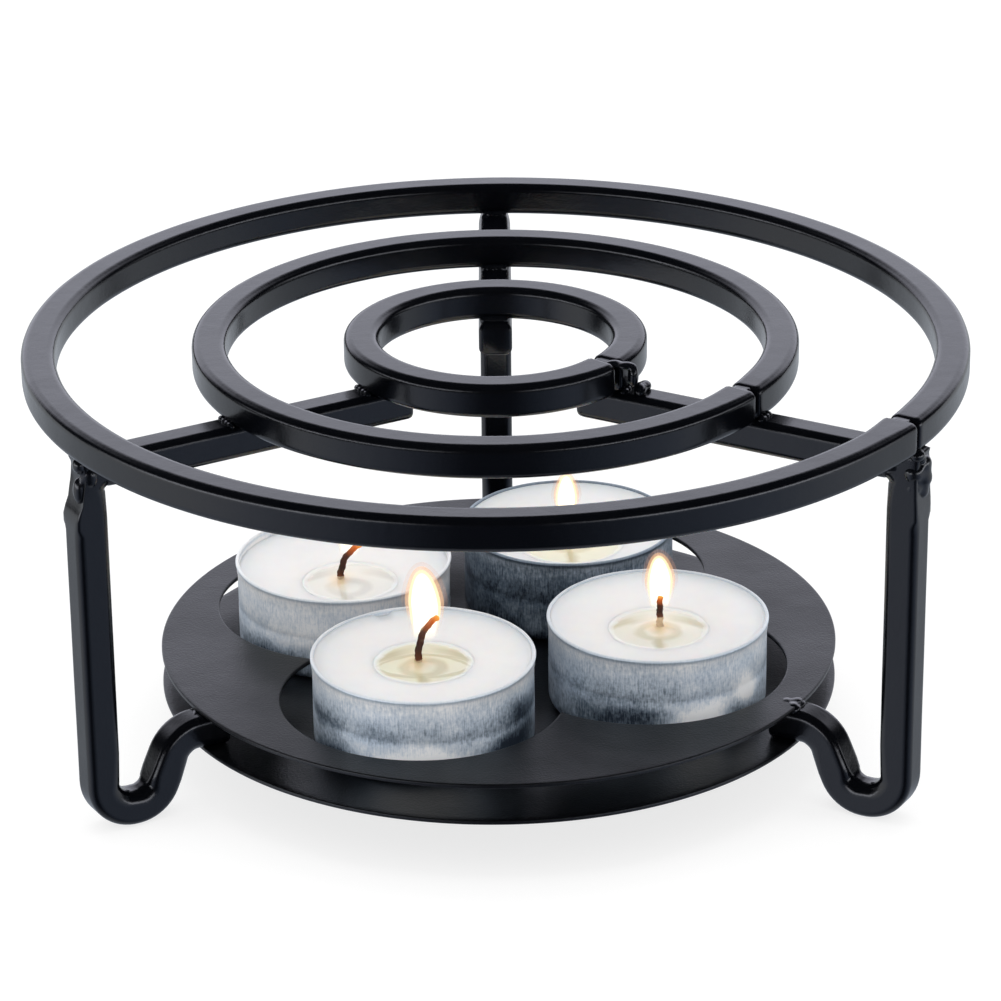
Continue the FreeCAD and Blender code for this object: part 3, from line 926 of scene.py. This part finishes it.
def ring_welds():
    """Fillet welds where each ring crosses each arm; those on the back arm face the front."""
    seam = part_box("outer_ring")[0].z
    for leg, (azimuth, *_) in LEGS.items():
        across = on_leg(leg, 0, 1, 0)
        thick = 0.95 * MM if leg == "back_leg" else 0.65 * MM
        for number, (node, *_) in enumerate(RINGS):
            inner, outer = reach(node)
            for side, radius in (("inside", inner + 0.15 * MM), ("outside", outer - 0.15 * MM)):
                if node == "outer_ring" and side == "outside":
                    continue
                seed = number * 7 + azimuth / 30 + (3 if side == "inside" else 0)
                half = (2.3 + 0.35 * sin(seed)) * MM
                place = on_leg(leg, radius, 0.3 * MM * sin(seed * 2), seam)
                ends = place - across * half, place + across * half
                bead(f"{leg}_{node}_{side}_weld", *ends, thick, seed)


# Tray


def lobe_edge(angle):
    """Distance from the axis to the edge of the four-lobed cut-out, at an angle."""
    step = tau / LOBE_COUNT
    off = (angle - radians(LOBE_TURN) + step / 2) % step - step / 2
    return LOBE_CIRCLE * cos(off) + sqrt(LOBE_RADIUS**2 - (LOBE_CIRCLE * sin(off)) ** 2)


def sheet_loop(angle, inner, outer, low, high, lift=None):
    """Section of a sheet between two radii, with its cut edges slightly rounded."""
    e = EDGE_ROUND
    near, far = inner + e, outer - e
    arc = [radians(a) for a in (0, 30, 60, 90)]
    loop = [(far + e * cos(a), high - e + e * sin(a)) for a in arc]
    loop += [(far + (near - far) * share, high) for share in (0.02, 0.15, 0.35, 0.5, 0.65, 0.85, 0.98)]
    loop += [(near - e * cos(a), high - e + e * sin(a)) for a in reversed(arc)]
    loop += [(near - e * cos(a), low + e - e * sin(a)) for a in arc]
    loop += [(far + (near - far) * share, low) for share in (0.98, 0.5, 0.02)]
    loop += [(far + e * cos(a), low + e - e * sin(a)) for a in reversed(arc)]
    return [polar(r, angle, z + (lift(r, angle) if lift and z > low + e else 0.0)) for r, z in loop]


def weld_swelling(radius, angle):
    """The sheet sinks a little over the bar ends that are welded under its rim."""
    total = 0.0
    for azimuth, *_ in LEGS.values():
        off = (angle - radians(azimuth) + pi) % tau - pi
        total += bell(off * radius, 5.5 * MM) * bell(radius - 54.5 * MM, 2.6 * MM)
    return -0.10 * MM * total


def tray_pieces():
    low, high = (corner.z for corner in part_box("tray_top_disc"))
    outer = reach("tray_top_disc")[1]
    angles = [radians(LOBE_TURN + 45) + tau * k / TRAY_STEPS for k in range(TRAY_STEPS)]
    loops = [sheet_loop(angle, lobe_edge(angle), outer, low, high, weld_swelling) for angle in angles]
    form = skin(loops, closed=True)
    mesh_piece("tray_top_sheet", form, TRAY, node="tray_top_disc")

    low, high = (corner.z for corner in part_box("tray_bottom_disc"))
    outer = reach("tray_bottom_disc")[1]
    angles = [tau * k / DISC_STEPS for k in range(DISC_STEPS)]
    loops = [sheet_loop(angle, DISC_CORE, outer, low, high) for angle in angles]
    points, faces = skin(loops, closed=True)
    angles = [tau * k / DISC_CORE_STEPS for k in range(DISC_CORE_STEPS)]
    core = skin([[polar(DISC_CORE + EDGE_ROUND, angle, z) for angle in angles] for z in (low, high)])
    faces += [tuple(len(points) + corner for corner in face) for face in core[1]]
    points += core[0]
    mesh_piece("tray_bottom_sheet", (points, faces), TRAY, node="tray_bottom_disc")


# Tealights


def lathe(profile, steps, shape):
    """Turn a closed profile of (radius, height) about the upright axis, then shape it."""
    loops = []
    for k in range(steps):
        angle = tau * k / steps
        shaped = [shape(r, z, angle) for r, z in profile]
        loops.append([polar(r, angle, z) for r, z in shaped])
    return skin(loops, closed=True)


def arc_profile(across, up, radius, first, last, steps):
    angles = [radians(first + (last - first) * k / steps) for k in range(steps + 1)]
    return [(across + radius * cos(a), up + radius * sin(a)) for a in angles]


def upright_run(radius, start, end, count):
    """Points on an upright line of a profile, without its ends."""
    return [(radius, start + (end - start) * k / count) for k in range(1, count)]


def cup_piece(place, base, radius, height, seed, metal):
    """The cup: drawn wall with a groove, a shoulder and the rolled rim, and slight dents."""
    tall = height - CUP_RIM
    outside = radius - CUP_RIM
    inside = outside - CUP_WALL
    foot = outside - CUP_BEND
    profile = [(CUP_HOLE, 0.0), (foot, 0.0)]
    profile += arc_profile(foot, CUP_BEND, CUP_BEND, -90, 0, 6)[1:]
    profile += upright_run(outside, CUP_BEND, height * 0.47, 6)
    profile += [(outside, height * 0.47), (outside - 0.09 * MM, height * 0.50), (outside, height * 0.53)]
    profile += upright_run(outside, height * 0.53, height * 0.86, 6)
    profile += [(outside, height * 0.86), (outside + 0.12 * MM, height * 0.885)]
    profile += [(outside + 0.14 * MM, tall - 0.30 * MM)]
    profile += arc_profile(outside, tall, CUP_RIM, -50, 180, 12)
    profile += [(outside - CUP_RIM, tall - 0.2 * MM)]
    profile += upright_run(inside, tall - 0.4 * MM, CUP_BEND, 8)
    profile += arc_profile(foot, CUP_BEND, CUP_BEND - CUP_WALL, 0, -90, 5)
    profile += [(CUP_HOLE, CUP_WALL)]

    def dented(r, z, angle):
        if r <= outside * 0.9:
            return r, z
        upper = smooth_step(z / height)
        x, y = cos(angle), sin(angle)
        dents = wave(x * 2.2 + seed, y * 2.2, z / MM / 6, seed)
        fine = wave(cos(angle * 3) * 3, angle * 4.0, z / MM / 2.5 + seed, seed + 2)
        r -= (0.10 * abs(dents) + 0.03 * abs(fine)) * MM * (0.4 + 0.6 * upper)
        z -= 0.10 * MM * abs(wave(x * 5, y * 5, seed, seed)) * upper
        return r, z

    form = lathe(profile, 288, dented)
    node = f"{place}_tealight_cup"
    mesh_piece(f"{place}_cup_shell", form, metal, base, node)


def wax_piece(place, base, rim, level, seed):
    """Wax that climbs the cup a little, with a hollow round the wick."""
    details = TEALIGHTS[place]
    pool_x, pool_y, pool = (value * MM for value in details["pool"])
    climb = details.get("wax_edge", WAX_EDGE) * MM
    notch = details.get("notch")
    profile = [(WAX_HOLE, WAX_FLOOR), (rim - CUP_BEND, WAX_FLOOR), (rim, WAX_FLOOR + CUP_BEND)]
    profile += upright_run(rim, WAX_FLOOR + CUP_BEND, level + climb - 0.2 * MM, 6)
    profile += [(rim, level + climb - 0.1 * MM), (rim - 0.12 * MM, level + climb)]
    profile += [(rim - 0.45 * MM, level + climb * 0.72), (rim - 1.0 * MM, level + climb * 0.3)]
    shore, bank = rim - 1.9 * MM, pool + 0.5 * MM
    profile += [(shore, level + 0.03 * MM)]
    profile += [(shore + (bank - shore) * k / 10, level) for k in range(1, 10)]
    profile += [(pool + 0.35 * MM, level), (pool + 0.1 * MM, level - 0.05 * MM)]
    profile += [(pool - 0.1 * MM, level - 0.3 * MM), (pool - 0.5 * MM, level - 0.75 * MM)]
    profile += [(WAX_HOLE, level - 0.8 * MM)]

    def uneven(r, z, angle):
        if z > level - 0.2 * MM and r > pool:
            x, y, _ = polar(r / MM / 3.2, angle, 0)
            z += 0.05 * MM * wave(x, y, seed, seed)
            if notch and r > rim - 1.7 * MM:
                off = abs((angle - radians(notch) + pi) % tau - pi)
                z -= 0.6 * MM * (1.0 - smooth_step((off - 0.05) / 0.05))
        return r, z

    points, faces = lathe(profile, 240, uneven)
    shifted = []
    for x, y, z in points:
        share = min(1.0, max(0.0, (rim - hypot(x, y)) / (rim - pool)))
        shifted.append((x + pool_x * share, y + pool_y * share, z))
    node = f"{place}_tealight_wax"
    mesh_piece(f"{place}_wax_block", (shifted, faces), WAX, base, node)


def pool_piece(place, base, level, foot):
    """The melted wax: a clear sheet that climbs a little at its brim."""
    details = TEALIGHTS[place]
    pool_x, pool_y, pool = (value * MM for value in details["pool"])
    count = 120
    shares = (0.1, 0.2, 0.32, 0.45, 0.58, 0.7, 0.82, 0.9, 0.95, 1.0, 1.045)
    points = [(0.0, 0.0, level)]
    for share in shares:
        climb = 0.17 * MM * exp(-(shares[-1] - share) * pool / (0.6 * MM))
        points += [polar(pool * share, tau * k / count, level + climb) for k in range(count)]
    points += [(x, y, level - POOL_DEPTH) for x, y, _ in points[-count:]]
    faces = [(0, 1 + k, 1 + (k + 1) % count) for k in range(count)]
    for ring in range(len(shares)):
        for k in range(count):
            a = 1 + ring * count + k
            b = 1 + ring * count + (k + 1) % count
            faces.append((a, a + count, b + count, b))
    faces.append(tuple(len(points) - 1 - k for k in range(count)))
    clear = melted_wax(place, details, pool, (foot.x - pool_x, foot.y - pool_y))
    middle = base + Vector((pool_x, pool_y, 0))
    mesh_piece(f"{place}_melted_pool", (points, faces), clear, middle)


def mark_along(piece, sides, shares):
    """Texture coordinates on a skin: round it, and a share along it for each of its loops."""
    layer = piece.data.uv_layers.new(name="along")
    for loop in piece.data.loops:
        layer.data[loop.index].uv = (loop.vertex_index % sides / sides, shares[loop.vertex_index // sides])


def wick_piece(place, foot):
    """A plaited cord, thinner towards its burnt tip; its texture runs from wax to tip."""
    details = TEALIGHTS[place]
    line = curve_points([*WICK_ROOT, *details["wick"]], 60)
    tip = len(line) - 1
    char_start = details["char_start"] * MM
    char_from = next(index for index, (_, z) in enumerate(line) if z >= char_start)
    loops = []
    shares = []
    for index, (x, z) in enumerate(line):
        before, after = line[max(index - 1, 0)], line[min(index + 1, tip)]
        heading = Vector((after[0] - before[0], 0, after[1] - before[1])).normalized()
        side = Vector((heading.z, 0, -heading.x))
        t = index / tip
        if z < char_start:
            shares.append(0.28 * max(z, 0.0) / char_start)
        else:
            shares.append(0.32 + 0.68 * (index - char_from) / (tip - char_from))
        size = WICK_RADIUS * (1.0 - 0.30 * t) * sqrt(max(0.05, min(1.0, (1 - t) * 25)))
        middle = Vector((x, -details["lean"] * MM * smooth_step(z / line[-1][1]), z))
        loop = []
        for j in range(WICK_SIDES):
            angle = tau * j / WICK_SIDES
            plait = 1 + 0.16 * cos(3 * angle + t * 26) + 0.08 * cos(5 * angle - t * 40)
            off = side * cos(angle) + Vector((0, sin(angle), 0))
            loop.append(middle + off * size * plait)
        loops.append(loop)
    node = f"{place}_tealight_wick"
    piece = mesh_piece(f"{place}_wick_cord", skin(loops), WICK, foot, node)
    mark_along(piece, WICK_SIDES, shares)


def flame_width(t):
    """Wide round the wick, widest above the middle and drawn to a blunt point."""
    taper = 1 - max(0.0, (t - 0.48) / 0.52) ** 2.1
    return (0.80 + 0.20 * smooth_step(t / 0.55)) * max(0.0, taper) ** 0.74


def flame_pieces(place, foot, veils):
    """A flame as nested veils of light, and the light that it gives."""
    details = TEALIGHTS[place]
    radius = details["flame_radius"] * MM
    path = curve_points(details["flame"], FLAME_POINTS)
    for number, (share, begin, material) in enumerate(veils, start=1):
        first = round(begin * (FLAME_POINTS - 1))
        loops = []
        for index, (x, z) in enumerate(path[first:], start=first):
            t = index / (FLAME_POINTS - 1)
            width = max(radius * share * flame_width(t), 1e-5)
            z += (share - 0.85) * radius * 1.2 * t
            ring = [polar(width, tau * j / FLAME_SIDES, z) for j in range(FLAME_SIDES)]
            loops.append([(x + across, FLAME_SHIFT + along, up) for across, along, up in ring])
        piece = mesh_piece(f"{place}_flame_veil_{number}", skin(loops), material, foot)
        mark_along(piece, FLAME_SIDES, [ring / (len(loops) - 1) for ring in range(len(loops))])
        piece.visible_shadow = False
        piece.visible_glossy = False
        piece.visible_diffuse = False

    light = bpy.data.lights.new(f"{place}_flame_light", "POINT")
    light.energy = FLAME_LIGHT
    light.color = (1.0, 0.62, 0.30)
    light.shadow_soft_size = 2.0 * MM
    lamp = add_object(f"{place}_flame_light", light)
    across, up = details["flame"][2]
    lamp.location = foot + Vector((across * MM, 0, up * MM))
    lamp.visible_glossy = False


def tealights():
    veils = [
        (share, begin, flame_glow(f"flame_veil_{number}", colour, strength, cover))
        for number, (share, colour, strength, cover, begin) in enumerate(FLAME_VEILS, start=1)
    ]
    for seed, (place, details) in enumerate(TEALIGHTS.items(), start=1):
        low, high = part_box(f"{place}_tealight_cup")
        base = Vector(((low.x + high.x) / 2, (low.y + high.y) / 2, low.z))
        radius = (high.x - low.x) / 2
        height = high.z - low.z
        metal = cup_metal(place, details["cup_painted_lift"], details["cup_painted_spots"])
        cup_piece(place, base, radius, height, seed, metal)
        level = height - details.get("wax_drop", WAX_DROP) * MM
        foot_x, foot_y = (value * MM for value in details["wick_foot"])
        foot = Vector((foot_x, foot_y, level - POOL_SINK))
        wax_piece(place, base, radius - 2 * CUP_RIM, level, seed)
        pool_piece(place, base, level - POOL_SINK, foot)
        wick_piece(place, base + foot)
        flame_pieces(place, base + foot, veils)
        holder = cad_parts[f"{place}_tealight_wick_holder"]
        holder.data.materials.clear()
        holder.data.materials.append(TIN)


# Stage


def floor():
    shader = Shader("pale_floor")
    tone = shader.noise(0.5, detail=1.0)
    shader.set(
        Base_Color=shader.ramp(tone, (0.3, (0.28, 0.28, 0.28)), (0.7, (0.29, 0.29, 0.29))),
        Roughness=0.9,
        Specular_IOR_Level=0.0,
        Emission_Color=(1, 1, 1),
        Emission_Strength=0.76,
    )
    half = FLOOR_SIZE / 2
    points = [(-half, -half, 0), (half, -half, 0), (half, half, 0), (-half, half, 0)]
    plane = mesh_object("studio_floor", points, [(0, 1, 2, 3)], shader.material)
    plane.visible_glossy = False


def studio_world():
    """An even white tent; gloss sees it dark overhead, dim below and bright at the horizon."""
    world = bpy.data.worlds.new("studio")
    bpy.context.scene.world = world
    world.use_nodes = True
    sky = Nodes(world.node_tree, "Generated")
    x, y, z = sky.parts()
    height = sky.spread(z, -1.0, 1.0)
    behind = sky.spread(y, -0.25, 0.35)
    white, dark = (1.0, 1.0, 1.0), (0.006, 0.007, 0.010)
    floor_front = sky.ramp(
        sky.spread(x, -1.0, 1.0),
        (0.0, (0.95, 0.97, 1.0)),
        (0.10, (0.58, 0.63, 0.76)),
        (0.26, (0.24, 0.28, 0.38)),
        (0.40, (0.03, 0.035, 0.05)),
        (0.60, (0.025, 0.03, 0.045)),
        (0.76, (0.16, 0.20, 0.28)),
        (0.92, (0.36, 0.42, 0.56)),
        (1.0, (0.65, 0.70, 0.78)),
    )
    floor_front = sky.mix(sky.spread(z, -0.78, -0.98), floor_front, (0.42, 0.45, 0.52))
    floor_back = sky.ramp(height, (0.2, (0.45, 0.50, 0.58)), (0.47, (0.75, 0.78, 0.82)))
    below = sky.mix(behind, floor_front, floor_back)
    back_card = sky.mix(sky.spread(height, 0.72, 0.83), (1.25, 1.27, 1.46), dark)
    back_card = sky.mix(sky.spread(abs(x), 0.60, 0.80), back_card, dark)
    strips = sky.mix(sky.spread(abs(x), 0.25, 0.60), (0.02, 0.02, 0.03), (3.2, 3.3, 3.6))
    strips = sky.mix(sky.spread(z, 0.12, 0.22), strips, dark)
    above = sky.mix(behind, strips, back_card)
    gloss = sky.mix(sky.spread(z, -0.05, 0.0), below, above)
    seen_in_gloss = sky.add("LightPath", {}, "Is Glossy Ray")
    background = world.node_tree.nodes["Background"]
    sky.feed(background.inputs["Color"], sky.mix(seen_in_gloss, white, gloss))
    background.inputs["Strength"].default_value = 1.0


def top_light():
    light = bpy.data.lights.new("top_light", "AREA")
    light.shape = "RECTANGLE"
    light.size = LIGHT_SIZE
    light.size_y = LIGHT_SIZE
    light.energy = LIGHT_POWER
    lamp = add_object("top_light", light)
    lamp.location = LIGHT_PLACE
    lamp.rotation_euler = (-LIGHT_PLACE).to_track_quat("-Z", "Y").to_euler()
    lamp.visible_glossy = False
    lamp.visible_camera = False


def studio():
    floor()
    studio_world()
    top_light()
    camera = bpy.data.cameras.new("camera")
    camera.lens = CAMERA_LENS
    camera.sensor_width = 36.0
    camera.clip_start = 0.05
    camera.clip_end = 30.0
    holder = add_object("camera", camera)
    holder.location = CAMERA_PLACE
    holder.rotation_mode = "XYZ"
    holder.rotation_euler = (radians(CAMERA_TILT), 0.0, 0.0)
    holder.rotation_euler.rotate_axis("Z", radians(CAMERA_ROLL))
    bpy.context.scene.camera = holder
    bpy.context.scene.view_settings.view_transform = "Standard"


for node, seed, proud, step_back in RINGS:
    ring_piece(node, seed, proud * MM, step_back * MM)
for node, (azimuth, seed, ragged, pinch) in LEGS.items():
    leg_piece(node, azimuth, seed, ragged * MM, pinch * MM)
ring_welds()
corner_welds()
tray_pieces()
tealights()
studio()
